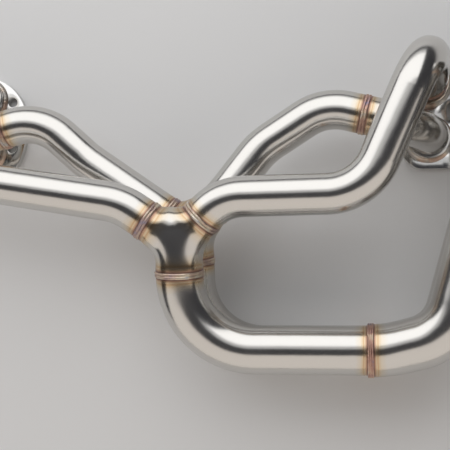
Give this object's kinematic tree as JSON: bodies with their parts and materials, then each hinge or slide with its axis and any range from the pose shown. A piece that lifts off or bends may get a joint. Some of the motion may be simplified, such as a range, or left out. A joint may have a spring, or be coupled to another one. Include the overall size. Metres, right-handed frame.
{
  "type": "exhaust manifold",
  "caption": "Welded stainless exhaust manifold for a flat engine: bent primaries pair up in formed Y merges, then run as twin secondaries to a twin-port turbo flange.",
  "frame": {"origin": "on the right head plate's gasket face, midway between its two ports", "axes": "+X across the engine from the left bank to the right bank; +Z away from the gasket faces; the merges and secondaries lie towards -Y"},
  "size_m": [0.7453, 0.3586, 0.1588],
  "materials": {
    "tube": "mirror polished stainless tube with heat tint at the welds",
    "plate": "bright ground stainless plate",
    "weld": "rippled weld bead, straw to copper heat tint"
  },
  "bodies": {
    "root": {"right_head_plate": "plate", "left_head_plate": "plate", "right_front_port_collar": "tube", "right_rear_port_collar": "tube", "left_front_port_collar": "tube", "left_rear_port_collar": "tube", "left_front_primary": "tube", "left_front_return_bend": "tube", "right_front_primary": "tube", "right_front_port_tube": "tube", "left_rear_primary": "tube", "left_rear_elbow": "tube", "right_rear_primary": "tube", "right_rear_elbow": "tube", "front_merge": "tube", "rear_merge": "tube", "front_secondary": "tube", "rear_secondary": "tube", "front_riser": "tube", "rear_riser": "tube", "turbo_flange": "plate", "front_merge_welds": "weld", "rear_merge_welds": "weld", "left_primary_welds": "weld", "right_primary_welds": "weld", "left_plate_welds": "weld", "right_plate_welds": "weld", "riser_welds": "weld", "turbo_flange_welds": "weld"}
  },
  "joints": []
}
